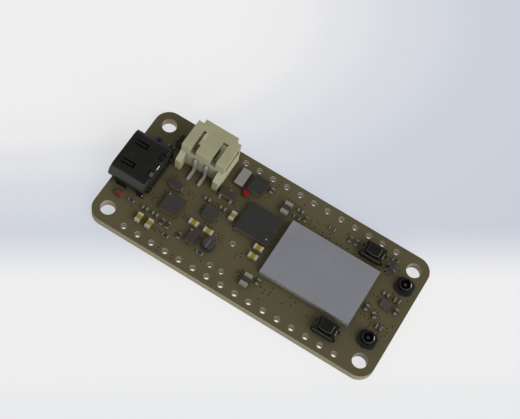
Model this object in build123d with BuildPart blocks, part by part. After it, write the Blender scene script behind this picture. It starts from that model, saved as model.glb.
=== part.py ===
"""Wireless development board: a small circuit board with its connectors, buttons and components.

Millimetres. The origin is the centre of the four mounting holes on the board's underside. +X runs from the
data port to the antenna sockets, +Y towards the battery connector's edge and +Z up. Places on the board are
measured from its corner beside the data port, on the edge with the longer row of header holes.
"""
from build123d import *

import os

# Circuit board
board_length = 50.8
board_width = 22.86
board_thickness = 1.6
corner_radius = 2.54
mounting_inset = 2.54
mounting_hole = 2.5
header_pitch = 2.54
header_hole = 1.05
hole_sides = 16
header_inset = 1.27
near_row_count = 16
far_row_count = 12
test_hole = 0.95
test_holes = [(21.0, 3.2), (23.05, 3.2), (22.1, 8.25)]

# Data port
port_place = 11.43
port_width = 8.94
port_height = 3.16
port_depth = 6.5
port_lift = 0.1
port_sheet = 0.3
port_overhang = 0.45
port_bend = 0.25
tongue_width = 6.69
tongue_thickness = 0.7
tongue_recess = 0.65
tongue_root = 1.2
tongue_root_thickness = 1.3
insulator_depth = 1.45
flap_drop = 2.1
finger_length = 2.35
finger_width = 0.4
finger_slot = 0.28
finger_inset = 0.9
finger_spacing = 3.9
window_length = 1.0
window_width = 1.3
window_spacing = 3.6
ramp_length = 0.6
ramp_width = 0.65
ramp_height = 0.3
leg_drop = 0.9
front_leg = 1.8
rear_leg = 1.1
front_leg_place = 2.45
leg_clearance = 0.15
contact_thickness = 0.15
narrow_contact = 0.26
wide_contact = 0.5
contact_pitch = 0.5
outer_contacts = [2.4, 3.1]
contact_tail = 0.45
contact_drop = 0.45
contact_cover = 0.15

# Battery connector
battery_place = 11.22
battery_back = 16.0
battery_width = 7.9
battery_depth = 5.1
battery_height = 5.5
battery_nose = 0.8
battery_nose_width = 6.0
battery_roof = 0.75
battery_floor = 0.9
battery_side_wall = 1.45
battery_back_wall = 1.1
battery_edge = 0.4
wing_thickness = 1.0
wing_reach = 1.6
wing_height = 2.7
wing_slope = 0.9
slot_width = 0.95
slot_length = 3.95
slot_depth = 1.43
slot_spacing = 3.63
ledge_width = 0.42
ledge_length = 2.5
groove_length = 4.3
groove_height = 1.5
groove_depth = 0.45
groove_floor = 3.3
pin_pitch = 2.0
pin_size = 0.46
pin_height = 3.15
pin_stand_off = 0.1
pin_foot = 2.35
pin_reach = 2.6
pin_bend = 0.3
pin_point = 0.12
anchor_thickness = 0.2
anchor_length = 2.6
anchor_height = 1.5
anchor_foot = 0.7

# Radio module
module_place = (36.0, 11.43)
module_size = (16.0, 10.5)
module_substrate = 0.26
module_cap = 0.78
module_edge = 0.06

# Chips with flat pads: body length, width and height, then pads on each end and on each side
memory_place = (23.8, 13.2)
memory_size = (6.0, 5.3, 0.8)
memory_pads = (4, 0)
memory_pitch = 1.27
bridge_place = (10.7, 8.35)
bridge_size = (3.05, 3.2, 0.8)
bridge_pads = (5, 5)
sensor_place = (20.25, 18.9)
sensor_size = (2.5, 3.0, 0.83)
sensor_pads = (4, 0)
charger_place = (16.4, 10.5)
charger_size = (2.1, 2.25, 0.75)
charger_pads = (3, 0)
regulator_place = (16.25, 5.45)
regulator_size = (1.5, 2.2, 0.75)
regulator_pads = (4, 0)
amplifier_place = (47.2, 12.55)
amplifier_size = (1.6, 1.25, 0.6)
amplifier_pads = (0, 3)
fine_pitch = 0.5
pad_share = 0.5
pad_length = 0.3
pad_height = 0.2
pad_reach = 0.02
chip_stand_off = 0.03

# Crystal
crystal_place = (17.42, 18.8)
crystal_size = (1.6, 3.2)
crystal_base = 0.45
crystal_lid = 0.25
crystal_ledge = 0.03

# Round inductor
inductor_place = (19.05, 5.7)
inductor_diameter = 1.85
inductor_base = 2.0
inductor_corner = 0.45
inductor_waist = 1.1
inductor_coil = 1.6
inductor_coil_height = 0.5
inductor_flange = 0.3
inductor_terminal = (0.6, 1.5, 0.1)
inductor_terminal_spacing = 1.3

# Supply diode and three transistors: body length, width and height, with formed leads
diode_place = (9.4, 11.55)
diode_size = (1.9, 1.3, 0.9)
supply_transistor_gap = 1.88
supply_transistor_line = 14.85
supply_transistor_size = (2.8, 1.35, 1.0)
supply_transistor_spread = 1.9
level_transistor_gap = 1.32
level_transistor_line = 18.75
level_transistor_size = (2.0, 1.25, 0.9)
level_transistor_spread = 1.3
bias_transistor_place = (45.0, 18.35)
bias_transistor_size = (1.9, 0.85, 0.7)
bias_transistor_spread = 1.1
lead_width = 0.42
bias_lead_width = 0.3
diode_lead_width = 0.84
lead_thickness = 0.12
lead_reach = 0.45
lead_shoulder = 0.15
lead_height = 0.45
mould_draft = 6
mould_stand_off = 0.05

# Lamps
user_lamp_place = (19.2, 16.7)
user_lamp_diameter = 1.25
user_lamp_base = 0.25
user_lamp_height = 0.75
user_lamp_edge = 0.2
charge_lamp_place = (2.6, 5.5)
charge_lamp_size = (1.4, 0.95, 0.6)
link_lamp_place = (2.63, 17.05)
link_lamp_size = (1.1, 0.65, 0.5)
lamp_terminal = 0.16
lamp_terminal_height = 0.3
lamp_edge = 0.08

# Small resistors: place and turn
resistor_size = (1.05, 0.5, 0.35)
resistor_terminal = 0.14
resistor_places = [
    (4.9, 5.5, 0), (4.95, 17.1, 0), (12.6, 3.4, 0), (18.6, 3.85, 0), (28.15, 17.65, 0),
    (33.9, 19.15, 0), (45.0, 20.05, 0), (10.9, 5.1, 90), (12.05, 5.1, 90), (14.4, 4.6, 90),
    (29.6, 18.2, 90), (37.2, 19.2, 90), (38.3, 19.25, 90),
]

# Capacitors: small ones, two wider coupling ones, medium yellow ones and large grey ones
small_cap_size = (1.05, 0.55, 0.5)
small_cap_terminal = 0.3
small_cap_places = [
    (7.5, 5.55, 0), (9.35, 5.55, 0), (14.75, 12.4, 0), (17.65, 12.4, 0), (28.15, 18.95, 0),
    (46.5, 14.15, 0), (22.5, 19.45, 90), (28.7, 4.75, 90), (49.2, 12.4, 90), (45.0, 10.5, 90),
    (46.55, 10.0, -60),
]
coupling_cap_size = (1.0, 0.85, 0.6)
coupling_cap_terminal = 0.22
coupling_cap_places = [(48.5, 14.1, 0), (48.15, 8.65, 0)]
yellow_cap_size = (1.55, 0.85, 0.75)
yellow_cap_terminal = 0.42
yellow_cap_places = [
    (7.55, 3.65, 90), (9.45, 3.65, 90), (19.6, 12.1, 90), (15.15, 7.65, 0), (17.8, 7.65, 0),
    (25.85, 9.65, 0), (25.85, 7.95, 0),
]
grey_cap_size = (2.2, 1.3, 0.95)
grey_cap_terminal = 0.65
grey_cap_places = [(27.0, 3.9, 90), (26.0, 18.0, 90)]
terminal_wrap = 0.02

# Push buttons
button_places = {"reset": (41.43, 19.0), "user": (41.4, 3.8)}
button_base_height = 1.2
button_length = 3.3
button_width = 2.5
button_floor = 0.45
button_sheet = 0.15
button_skin = 0.1
button_skirt = 0.4
button_clip_width = 1.0
button_clip_drop = 0.8
plunger_length = 2.15
plunger_width = 1.55
plunger_bow = 0.13
plunger_edge = 0.08
plunger_top = 1.9
plunger_side_gap = 0.07
plunger_top_gap = 0.03
plunger_flange = 0.08
plunger_flange_thickness = 0.22
plunger_nub = 0.8
dome_diameter = 1.9
dome_slope = 58
dome_rise = 0.3
dome_sheet = 0.06
dome_sides = 12
button_terminal_width = 0.45
button_terminal_spacing = 1.6
button_terminal_reach = 0.45
button_terminal_height = 0.5
button_terminal_sheet = 0.18

# Antenna sockets
socket_places = {"main": (48.26, 16.95), "second": (47.57, 6.07)}
socket_length = 2.95
socket_width = 2.7
socket_base_height = 0.35
socket_corner = 0.55
socket_ring = 2.0
socket_wall = 0.17
socket_ring_height = 0.9
socket_edge = 0.06
socket_pin = 0.5
socket_pin_height = 0.65
socket_foot_width = 0.55
socket_foot_reach = 0.25
socket_foot_sheet = 0.15

# Values worked out from the sizes above
corner_x = -board_length / 2
corner_y = -board_width / 2
top = board_thickness
os.makedirs("parts", exist_ok=True)


def seat(x, y, turn=0, lift=0.0):
    """A place on the board's upper face, measured from the corner beside the data port."""
    return Location((corner_x + x, corner_y + y, top + lift), (0, 0, turn))


def seats(places, lift=0.0):
    """The seats of a list of places, each with its own turn."""
    return [seat(x, y, turn, lift) for x, y, turn in places]


def keep(piece, name):
    """Label a finished piece and write it as its own file."""
    piece.part.label = name
    export_step(piece.part, f"parts/{name}.step")


# Circuit board
near_row = [(step - (near_row_count - 1) / 2) * header_pitch for step in range(near_row_count)]
far_row = near_row[-far_row_count:]
header_places = [(x, header_inset - board_width / 2) for x in near_row]
header_places += [(x, board_width / 2 - header_inset) for x in far_row]
port_front = corner_x - port_overhang
port_y = corner_y + port_place
leg_rows = [(front_leg_place, front_leg), (port_depth - rear_leg / 2, rear_leg)]
leg_line = (port_width - port_sheet) / 2

with BuildPart() as board:
    with BuildSketch():
        RectangleRounded(board_length, board_width, corner_radius)
        with GridLocations(board_length - 2 * mounting_inset, board_width - 2 * mounting_inset, 2, 2):
            Circle(mounting_hole / 2, mode=Mode.SUBTRACT)
        with Locations(*header_places):
            RegularPolygon(header_hole / 2, hole_sides, mode=Mode.SUBTRACT)
        with Locations(*[(corner_x + x, corner_y + y) for x, y in test_holes]):
            RegularPolygon(test_hole / 2, hole_sides, mode=Mode.SUBTRACT)
        for place, width in leg_rows:
            with Locations((port_front + place, port_y + leg_line), (port_front + place, port_y - leg_line)):
                Rectangle(width + 2 * leg_clearance, port_sheet + 2 * leg_clearance, mode=Mode.SUBTRACT)
    extrude(amount=board_thickness)
keep(board, "circuit_board")


# Data port: an oval shell with a spring-fingered top, open at the front and closed by a flap at the rear
port_bottom = top + port_lift
port_middle = port_bottom + port_height / 2
port_roof = port_bottom + port_height
port_rear = port_front + port_depth
port_radius = port_height / 2
inner_width = port_width - 2 * port_sheet
inner_height = port_height - 2 * port_sheet


def port_plane(x):
    """A plane across the port at a distance along the board, seen from its mouth's side."""
    return Plane(origin=(x, port_y, port_middle), x_dir=(0, 1, 0), z_dir=(1, 0, 0))


def port_level(x, z):
    """A level plane on the port's middle line, at a distance along the board and a height."""
    return Plane(origin=(x, port_y, z))


tongue_tip = port_front + tongue_recess
insulator_rear = port_rear - port_sheet
insulator_front = insulator_rear - insulator_depth
contact_fall = insulator_rear - contact_drop
narrow_lines = [(step - 3.5) * contact_pitch for step in range(8)]
contact_lines = [(line, narrow_contact) for line in narrow_lines]
for line in outer_contacts:
    contact_lines += [(line, wide_contact), (-line, wide_contact)]
contact_lines.sort()
foot_width = 2 * max(outer_contacts) + wide_contact + 2 * contact_cover
foot_front = contact_fall - contact_cover

with BuildPart() as shell:
    with BuildSketch(port_plane(port_front)):
        SlotOverall(port_width, port_height)
        SlotOverall(inner_width, inner_height, mode=Mode.SUBTRACT)
    extrude(amount=port_depth)
    with BuildSketch(port_plane(port_rear - port_sheet)):
        SlotOverall(port_width, port_height)
        with Locations((0, port_height / 2 - flap_drop)):
            Rectangle(port_width, port_height, align=(Align.CENTER, Align.MAX), mode=Mode.SUBTRACT)
    extrude(amount=port_sheet)
    # Two spring fingers, cut free on three sides and joined to the roof at the front
    with BuildSketch(port_level(port_front + finger_inset, port_roof - port_sheet)):
        with Locations((0, finger_spacing / 2), (0, -finger_spacing / 2)):
            Rectangle(finger_length, finger_width + 2 * finger_slot, align=(Align.MIN, Align.CENTER))
            Rectangle(finger_length - finger_slot, finger_width, align=(Align.MIN, Align.CENTER),
                      mode=Mode.SUBTRACT)
    extrude(amount=port_sheet, mode=Mode.SUBTRACT)
    # Two windows in the roof, open at the rear, leave a centre strip that bends down into the flap
    with BuildSketch(port_level(port_rear, port_roof - port_sheet)):
        with Locations((0, window_spacing / 2), (0, -window_spacing / 2)):
            Rectangle(window_length, window_width, align=(Align.MAX, Align.CENTER))
    extrude(amount=port_sheet, mode=Mode.SUBTRACT)
    rear_edges = shell.edges().filter_by(Axis.Y).group_by(Axis.Z)[-1].group_by(Axis.X)[-1]
    fillet(rear_edges, port_bend)
    # The floor is cut away at the rear for the insulator's foot
    with BuildSketch(port_level(foot_front, port_bottom)):
        Rectangle(port_rear - foot_front, foot_width, align=(Align.MIN, Align.CENTER))
    extrude(amount=port_height / 4, mode=Mode.SUBTRACT)
    # Four legs, which drop from the sides at the shell's widest line
    for place, width in leg_rows:
        with Locations((port_front + place, port_y + leg_line, port_middle),
                       (port_front + place, port_y - leg_line, port_middle)):
            Box(width, port_sheet, port_middle - top + leg_drop,
                align=(Align.CENTER, Align.CENTER, Align.MAX))
keep(shell, "data_port_shell")

with BuildPart() as contacts:
    for order, (line, width) in enumerate(contact_lines):
        # Every other contact lies in the tongue's lower face
        face = port_middle + tongue_thickness / 2
        if order % 2:
            face = port_middle - tongue_thickness / 2 + contact_thickness
        with BuildSketch(Plane.XZ.offset(-port_y - line)):
            with BuildLine():
                Polyline(
                    (tongue_tip + contact_tail, face),
                    (contact_fall + contact_thickness, face),
                    (contact_fall + contact_thickness, top + contact_thickness),
                    (port_rear + contact_tail, top + contact_thickness),
                    (port_rear + contact_tail, top),
                    (contact_fall, top),
                    (contact_fall, face - contact_thickness),
                    (tongue_tip + contact_tail, face - contact_thickness),
                    close=True)
            make_face()
        extrude(amount=width / 2, both=True)
keep(contacts, "data_port_contacts")

with BuildPart() as insulator:
    with BuildSketch(port_plane(insulator_front)):
        SlotOverall(inner_width, inner_height)
    extrude(amount=insulator_depth)
    with BuildSketch(port_plane(insulator_front - tongue_root)):
        Rectangle(tongue_width, tongue_root_thickness)
    extrude(amount=tongue_root)
    with BuildSketch(port_level(tongue_tip, port_middle)) as tongue:
        Rectangle(insulator_front - tongue_tip, tongue_width, align=(Align.MIN, Align.CENTER))
        chamfer(tongue.vertices().sort_by(Axis.X)[:2], tongue_thickness / 2)
    extrude(amount=tongue_thickness / 2, both=True)
    # The foot fills the gap in the shell's floor and backs the lower half of the rear
    with BuildSketch(port_level(foot_front, top)):
        Rectangle(port_rear - foot_front, foot_width, align=(Align.MIN, Align.CENTER))
    extrude(amount=port_roof - flap_drop - top)
    # Two latch ramps rise through the roof's windows, each sloping down outwards
    for side in (1, -1):
        inner_y = side * (window_spacing - window_width) / 2 + side * contact_cover
        outer_y = inner_y + side * ramp_width
        with BuildSketch(port_plane(port_rear - ramp_length)):
            with BuildLine():
                Polyline((inner_y, inner_height / 2), (inner_y, inner_height / 2 + ramp_height),
                         (outer_y, inner_height / 2), close=True)
            make_face()
        extrude(amount=ramp_length)
    add(contacts.part, mode=Mode.SUBTRACT)
keep(insulator, "data_port_insulator")


# Battery connector: a housing open towards the far edge, with wings that reach back beside its pins
battery_x = corner_x + battery_place
back_y = corner_y + battery_back
front_y = back_y + battery_depth
nose_y = front_y + battery_nose
battery_top = top + battery_height
cavity_width = battery_width - 2 * battery_side_wall
cavity_height = battery_height - battery_roof - battery_floor
battery_side_plane = Plane(origin=(battery_x, 0, 0), x_dir=(0, 1, 0), z_dir=(1, 0, 0))
pin_places = [battery_x - pin_pitch / 2, battery_x + pin_pitch / 2]

with BuildPart() as battery_pins:
    for pin_x in pin_places:
        with BuildLine() as pin_path:
            FilletPolyline(
                (pin_x, back_y + battery_back_wall + pin_reach, top + pin_height),
                (pin_x, back_y - pin_stand_off - pin_size / 2, top + pin_height),
                (pin_x, back_y - pin_stand_off - pin_size / 2, top + pin_size / 2),
                (pin_x, back_y - pin_stand_off - pin_foot, top + pin_size / 2),
                radius=pin_bend)
        with BuildSketch(Plane(origin=pin_path.line @ 0, x_dir=(1, 0, 0), z_dir=pin_path.line % 0)):
            Rectangle(pin_size, pin_size)
        sweep(path=pin_path.line)
    tips = battery_pins.faces().filter_by(Axis.Y).group_by(Axis.Y)[-1]
    chamfer(tips.edges(), pin_point)
keep(battery_pins, "battery_connector_pins")

anchor_lines = [battery_width / 2 - anchor_foot, anchor_foot - battery_width / 2]
with BuildPart() as battery_anchors:
    for anchor_x in anchor_lines:
        outward = Align.MIN if anchor_x > 0 else Align.MAX
        with Locations((battery_x + anchor_x, front_y - battery_edge, top)):
            Box(anchor_thickness, anchor_length, anchor_height, align=(outward, Align.MAX, Align.MIN))
            Box(anchor_foot, anchor_length, anchor_thickness, align=(outward, Align.MAX, Align.MIN))
keep(battery_anchors, "battery_connector_anchors")

with BuildPart() as battery_housing:
    with BuildSketch(battery_side_plane):
        with BuildLine():
            Polyline((back_y, top), (front_y, top), (front_y, battery_top), (back_y, battery_top), close=True)
        make_face()
    extrude(amount=battery_width / 2, both=True)
    back_edge = battery_housing.edges().filter_by(Axis.X).group_by(Axis.Z)[-1].sort_by(Axis.Y)[0]
    fillet(back_edge, battery_edge)
    # The middle of the front stands proud round the mouth
    with Locations((battery_x, front_y, top)):
        Box(battery_nose_width, battery_nose, battery_height, align=(Align.CENTER, Align.MIN, Align.MIN))
    # Two wings reach back along the board, each with a sloping top
    for side in (-1, 1):
        wing_x = battery_x + side * (battery_width / 2 - wing_thickness / 2)
        with BuildSketch(Plane(origin=(wing_x, 0, 0), x_dir=(0, 1, 0), z_dir=(1, 0, 0))):
            with BuildLine():
                Polyline((back_y, top), (back_y, top + wing_height + wing_slope),
                         (back_y - wing_reach, top + wing_height), (back_y - wing_reach, top), close=True)
            make_face()
        extrude(amount=wing_thickness / 2, both=True)
    # The cavity takes the plug
    with Locations((battery_x, back_y + battery_back_wall, top + battery_floor)):
        Box(cavity_width, nose_y - back_y, cavity_height, align=(Align.CENTER, Align.MIN, Align.MIN),
            mode=Mode.SUBTRACT)
    # Two slots run along the roof and out through the rear
    with Locations((battery_x - slot_spacing / 2, back_y, battery_top),
                   (battery_x + slot_spacing / 2, back_y, battery_top)):
        Box(slot_width, slot_length, slot_depth, align=(Align.CENTER, Align.MIN, Align.MAX),
            mode=Mode.SUBTRACT)
    # A ledge level with the roof narrows the first slot
    ledge_side = battery_x - slot_spacing / 2 + slot_width / 2
    with Locations((ledge_side, back_y + slot_length, battery_top)):
        Box(ledge_width, ledge_length, battery_roof, align=(Align.MAX, Align.MAX, Align.MAX))
    # A groove runs along each outer side
    for side in (-1, 1):
        side_x = battery_x + side * battery_width / 2
        with Locations((side_x, front_y - battery_depth / 2, top + groove_floor)):
            Box(2 * groove_depth, groove_length, groove_height,
                align=(Align.CENTER, Align.CENTER, Align.MIN), mode=Mode.SUBTRACT)
    add(battery_pins.part, mode=Mode.SUBTRACT)
    add(battery_anchors.part, mode=Mode.SUBTRACT)
keep(battery_housing, "battery_connector_housing")


# Radio module: a laminate substrate under a moulded, coated cap
with BuildPart() as module_base:
    with Locations(seat(*module_place)):
        Box(*module_size, module_substrate, align=(Align.CENTER, Align.CENTER, Align.MIN))
keep(module_base, "radio_module_substrate")

with BuildPart() as module_lid:
    with Locations(seat(*module_place, lift=module_substrate)):
        Box(*module_size, module_cap, align=(Align.CENTER, Align.CENTER, Align.MIN))
    chamfer(module_lid.faces().sort_by(Axis.Z)[-1].edges(), module_edge)
keep(module_lid, "radio_module_cap")


# Chips with flat pads under the edges of their bodies
def pad_seats(place, size, pads, pitch):
    """Seats at the middle of each pad's outer edge, turned so that local +X points outwards."""
    length, width = size[0], size[1]
    ends, sides = pads
    spots = []
    for step in range(ends):
        along = (step - (ends - 1) / 2) * pitch
        spots += [(length / 2, along, 0), (-length / 2, along, 180)]
    for step in range(sides):
        along = (step - (sides - 1) / 2) * pitch
        spots += [(along, width / 2, 90), (along, -width / 2, -90)]
    return [seat(place[0] + x, place[1] + y, turn) for x, y, turn in spots]


def chip_pads(place, size, pads, pitch):
    """Flat pads of one chip, each just proud of the body's edge."""
    with BuildPart() as group:
        with Locations(*pad_seats(place, size, pads, pitch)):
            with Locations((pad_reach, 0, 0)):
                Box(pad_length + pad_reach, pitch * pad_share, pad_height,
                    align=(Align.MAX, Align.CENTER, Align.MIN))
    return group


def chip_body(place, size, pads, name):
    """A moulded body that fits over its pads."""
    with BuildPart() as body:
        with Locations(seat(*place, lift=chip_stand_off)):
            Box(size[0], size[1], size[2] - chip_stand_off, align=(Align.CENTER, Align.CENTER, Align.MIN))
        add(pads.part, mode=Mode.SUBTRACT)
    keep(body, name)


memory_contacts = chip_pads(memory_place, memory_size, memory_pads, memory_pitch)
keep(memory_contacts, "memory_chip_pads")
chip_body(memory_place, memory_size, memory_contacts, "memory_chip_body")
bridge_contacts = chip_pads(bridge_place, bridge_size, bridge_pads, fine_pitch)
keep(bridge_contacts, "bridge_chip_pads")
chip_body(bridge_place, bridge_size, bridge_contacts, "bridge_chip_body")
sensor_contacts = chip_pads(sensor_place, sensor_size, sensor_pads, fine_pitch)
keep(sensor_contacts, "motion_sensor_pads")
chip_body(sensor_place, sensor_size, sensor_contacts, "motion_sensor_body")

small_chips = {
    "charger_chip": (charger_place, charger_size, charger_pads),
    "regulator_chip": (regulator_place, regulator_size, regulator_pads),
    "antenna_amplifier": (amplifier_place, amplifier_size, amplifier_pads),
}
small_chip_groups = [chip_pads(place, size, pads, fine_pitch) for place, size, pads in small_chips.values()]
with BuildPart() as small_chip_contacts:
    for group in small_chip_groups:
        add(group.part)
keep(small_chip_contacts, "small_chip_pads")
for name, (place, size, pads) in small_chips.items():
    chip_body(place, size, small_chip_contacts, name)


# Crystal: a ceramic base with a metal lid
with BuildPart() as crystal_can:
    with Locations(seat(*crystal_place)):
        Box(*crystal_size, crystal_base, align=(Align.CENTER, Align.CENTER, Align.MIN))
keep(crystal_can, "crystal_base")
with BuildPart() as crystal_cover:
    with Locations(seat(*crystal_place, lift=crystal_base)):
        Box(crystal_size[0] - 2 * crystal_ledge, crystal_size[1] - 2 * crystal_ledge, crystal_lid,
            align=(Align.CENTER, Align.CENTER, Align.MIN))
keep(crystal_cover, "crystal_lid")


# Round inductor: a core with a round upper flange and a cornered base, its coil between, on two terminals
inductor_seat = seat(*inductor_place)
terminal_length, terminal_width, terminal_sheet = inductor_terminal
coil_floor = terminal_sheet + inductor_flange

with BuildPart() as inductor_feet:
    with Locations(inductor_seat):
        with GridLocations(inductor_terminal_spacing, 0, 2, 1):
            Box(terminal_length, terminal_width, terminal_sheet,
                align=(Align.CENTER, Align.CENTER, Align.MIN))
keep(inductor_feet, "inductor_terminals")
with BuildPart() as inductor_core:
    with BuildSketch(Plane(origin=(inductor_seat * Location((0, 0, terminal_sheet))).position)):
        outline = Rectangle(inductor_base, inductor_base)
        chamfer(outline.vertices(), inductor_corner)
    extrude(amount=inductor_flange)
    with Locations(inductor_seat * Location((0, 0, coil_floor))):
        Cylinder(inductor_waist / 2, inductor_coil_height, align=(Align.CENTER, Align.CENTER, Align.MIN))
    with Locations(inductor_seat * Location((0, 0, coil_floor + inductor_coil_height))):
        Cylinder(inductor_diameter / 2, inductor_flange, align=(Align.CENTER, Align.CENTER, Align.MIN))
keep(inductor_core, "inductor_core")
with BuildPart() as inductor_winding:
    with Locations(inductor_seat * Location((0, 0, coil_floor))):
        Cylinder(inductor_coil / 2, inductor_coil_height, align=(Align.CENTER, Align.CENTER, Align.MIN))
        Cylinder(inductor_waist / 2, inductor_coil_height, mode=Mode.SUBTRACT,
                 align=(Align.CENTER, Align.CENTER, Align.MIN))
keep(inductor_winding, "inductor_winding")


# Diode and transistors: bodies that taper away from the line of their formed leads
def moulded_body(place, size, name):
    """A body whose sides lean in above and below the line where its leads leave."""
    length, width, height = size
    middle = height * lead_height + mould_stand_off
    with BuildPart() as body:
        with BuildSketch(Plane(origin=seat(*place, lift=middle).position)):
            Rectangle(length, width)
        extrude(amount=height - middle, taper=mould_draft)
        with BuildSketch(Plane(origin=seat(*place, lift=middle).position)):
            Rectangle(length, width)
        extrude(amount=mould_stand_off - middle, taper=mould_draft)
    keep(body, name)


def formed_lead(width, height):
    """One lead that leaves the body at the origin towards +X, steps down and ends in a flat foot."""
    middle = height * lead_height + mould_stand_off
    upper = middle + lead_thickness / 2
    lower = middle - lead_thickness / 2
    with BuildPart() as lead:
        with BuildSketch(Plane.XZ):
            with BuildLine():
                Polyline((0, lower), (0, upper), (lead_shoulder + lead_thickness, upper),
                         (lead_shoulder + lead_thickness, lead_thickness), (lead_reach, lead_thickness),
                         (lead_reach, 0), (lead_shoulder, 0), (lead_shoulder, lower), close=True)
            make_face()
        extrude(amount=width / 2, both=True)
    return lead.part


def transistor_leads(place, size, spread, turn):
    """Three lead seats: two on one long side and one on the other."""
    out = size[1] / 2
    spots = [(spread / 2, -out, -90), (-spread / 2, -out, -90), (0, out, 90)]
    return [seat(*place, turn) * Location((x, y, 0), (0, 0, angle)) for x, y, angle in spots]


def turned(size, turn):
    """A body's size along the board's axes after a quarter turn."""
    return (size[1], size[0], size[2]) if turn % 180 else size


moulded_body(diode_place, diode_size, "supply_diode_body")
diode_lead = formed_lead(diode_lead_width, diode_size[2])
with BuildPart() as diode_leads:
    with Locations(seat(*diode_place) * Location((diode_size[0] / 2, 0, 0)),
                   seat(*diode_place, 180) * Location((diode_size[0] / 2, 0, 0))):
        add(diode_lead)
keep(diode_leads, "supply_diode_leads")

supply_transistor_place = (battery_place + battery_width / 2 + supply_transistor_gap, supply_transistor_line)
level_transistor_place = (battery_place - battery_width / 2 - level_transistor_gap, level_transistor_line)
transistors = {
    "supply_transistor": (
        supply_transistor_place, supply_transistor_size, supply_transistor_spread, lead_width, 0),
    "level_transistor": (
        level_transistor_place, level_transistor_size, level_transistor_spread, lead_width, 90),
    "bias_transistor": (
        bias_transistor_place, bias_transistor_size, bias_transistor_spread, bias_lead_width, -90),
}
lead_groups = [(formed_lead(width, size[2]), transistor_leads(place, size, spread, turn))
               for place, size, spread, width, turn in transistors.values()]
with BuildPart() as transistor_legs:
    for lead, lead_seats in lead_groups:
        with Locations(*lead_seats):
            add(lead)
keep(transistor_legs, "transistor_leads")
for name, (place, size, spread, width, turn) in transistors.items():
    moulded_body(place, turned(size, turn), name)


# Lamps: one round with a domed lens, two oblong with a terminal at each end
with BuildPart() as user_base:
    with Locations(seat(*user_lamp_place)):
        Cylinder(user_lamp_diameter / 2, user_lamp_base, align=(Align.CENTER, Align.CENTER, Align.MIN))
keep(user_base, "user_lamp_base")
with BuildPart() as user_lens:
    with Locations(seat(*user_lamp_place, lift=user_lamp_base)):
        Cylinder(user_lamp_diameter / 2, user_lamp_height - user_lamp_base,
                 align=(Align.CENTER, Align.CENTER, Align.MIN))
    chamfer(user_lens.edges().filter_by(GeomType.CIRCLE).sort_by(Axis.Z)[-1], user_lamp_edge)
keep(user_lens, "user_lamp_lens")

oblong_lamps = {
    "charge_lamp_lens": (charge_lamp_place, charge_lamp_size),
    "link_lamp_lens": (link_lamp_place, link_lamp_size),
}
with BuildPart() as lamp_ends:
    for place, size in oblong_lamps.values():
        with Locations(seat(*place)):
            with GridLocations(size[0] - lamp_terminal, 0, 2, 1):
                Box(lamp_terminal, size[1], lamp_terminal_height,
                    align=(Align.CENTER, Align.CENTER, Align.MIN))
keep(lamp_ends, "lamp_terminals")
for name, (place, size) in oblong_lamps.items():
    with BuildPart() as lens:
        with Locations(seat(*place)):
            Box(size[0] - 2 * lamp_terminal, size[1], size[2], align=(Align.CENTER, Align.CENTER, Align.MIN))
        chamfer(lens.faces().sort_by(Axis.Z)[-1].edges(), lamp_edge)
    keep(lens, name)


# Resistors and capacitors: a ceramic body between two end terminals
def two_ended(kinds, bodies_name, terminals_name):
    """Write the bodies and the terminals of some kinds of two-ended component as two groups."""
    with BuildPart() as bodies:
        for places, (length, width, height), terminal in kinds:
            with Locations(*seats(places, terminal_wrap)):
                Box(length - 2 * terminal, width - 2 * terminal_wrap, height - 2 * terminal_wrap,
                    align=(Align.CENTER, Align.CENTER, Align.MIN))
    keep(bodies, bodies_name)
    with BuildPart() as terminals:
        for places, (length, width, height), terminal in kinds:
            with Locations(*seats(places)):
                with GridLocations(length - terminal, 0, 2, 1):
                    Box(terminal, width, height, align=(Align.CENTER, Align.CENTER, Align.MIN))
    keep(terminals, terminals_name)


two_ended([(resistor_places, resistor_size, resistor_terminal)], "resistor_bodies", "resistor_terminals")
two_ended([(small_cap_places, small_cap_size, small_cap_terminal),
           (coupling_cap_places, coupling_cap_size, coupling_cap_terminal)],
          "small_capacitor_bodies", "small_capacitor_terminals")
two_ended([(yellow_cap_places, yellow_cap_size, yellow_cap_terminal)],
          "yellow_capacitor_bodies", "yellow_capacitor_terminals")
two_ended([(grey_cap_places, grey_cap_size, grey_cap_terminal)],
          "grey_capacitor_bodies", "grey_capacitor_terminals")


# Push buttons: a plunger held under a folded cover, on a snap dome in a moulded base
window_length_x = plunger_length + 2 * plunger_side_gap
window_length_y = plunger_width + 2 * plunger_bow + 2 * plunger_side_gap
flange_x = window_length_x + 2 * plunger_flange
flange_y = window_length_y + 2 * plunger_flange
well_x = flange_x + 2 * plunger_side_gap
well_y = flange_y + 2 * plunger_side_gap
cover_length = button_length + 2 * button_skin
cover_width = button_width + 2 * button_skin
flange_top = button_base_height - plunger_top_gap
dome_top = button_floor + dome_rise


def button_plane(place, height):
    """A plane across a button at a height over the board."""
    return Plane(origin=seat(*place, lift=height).position)


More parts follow.
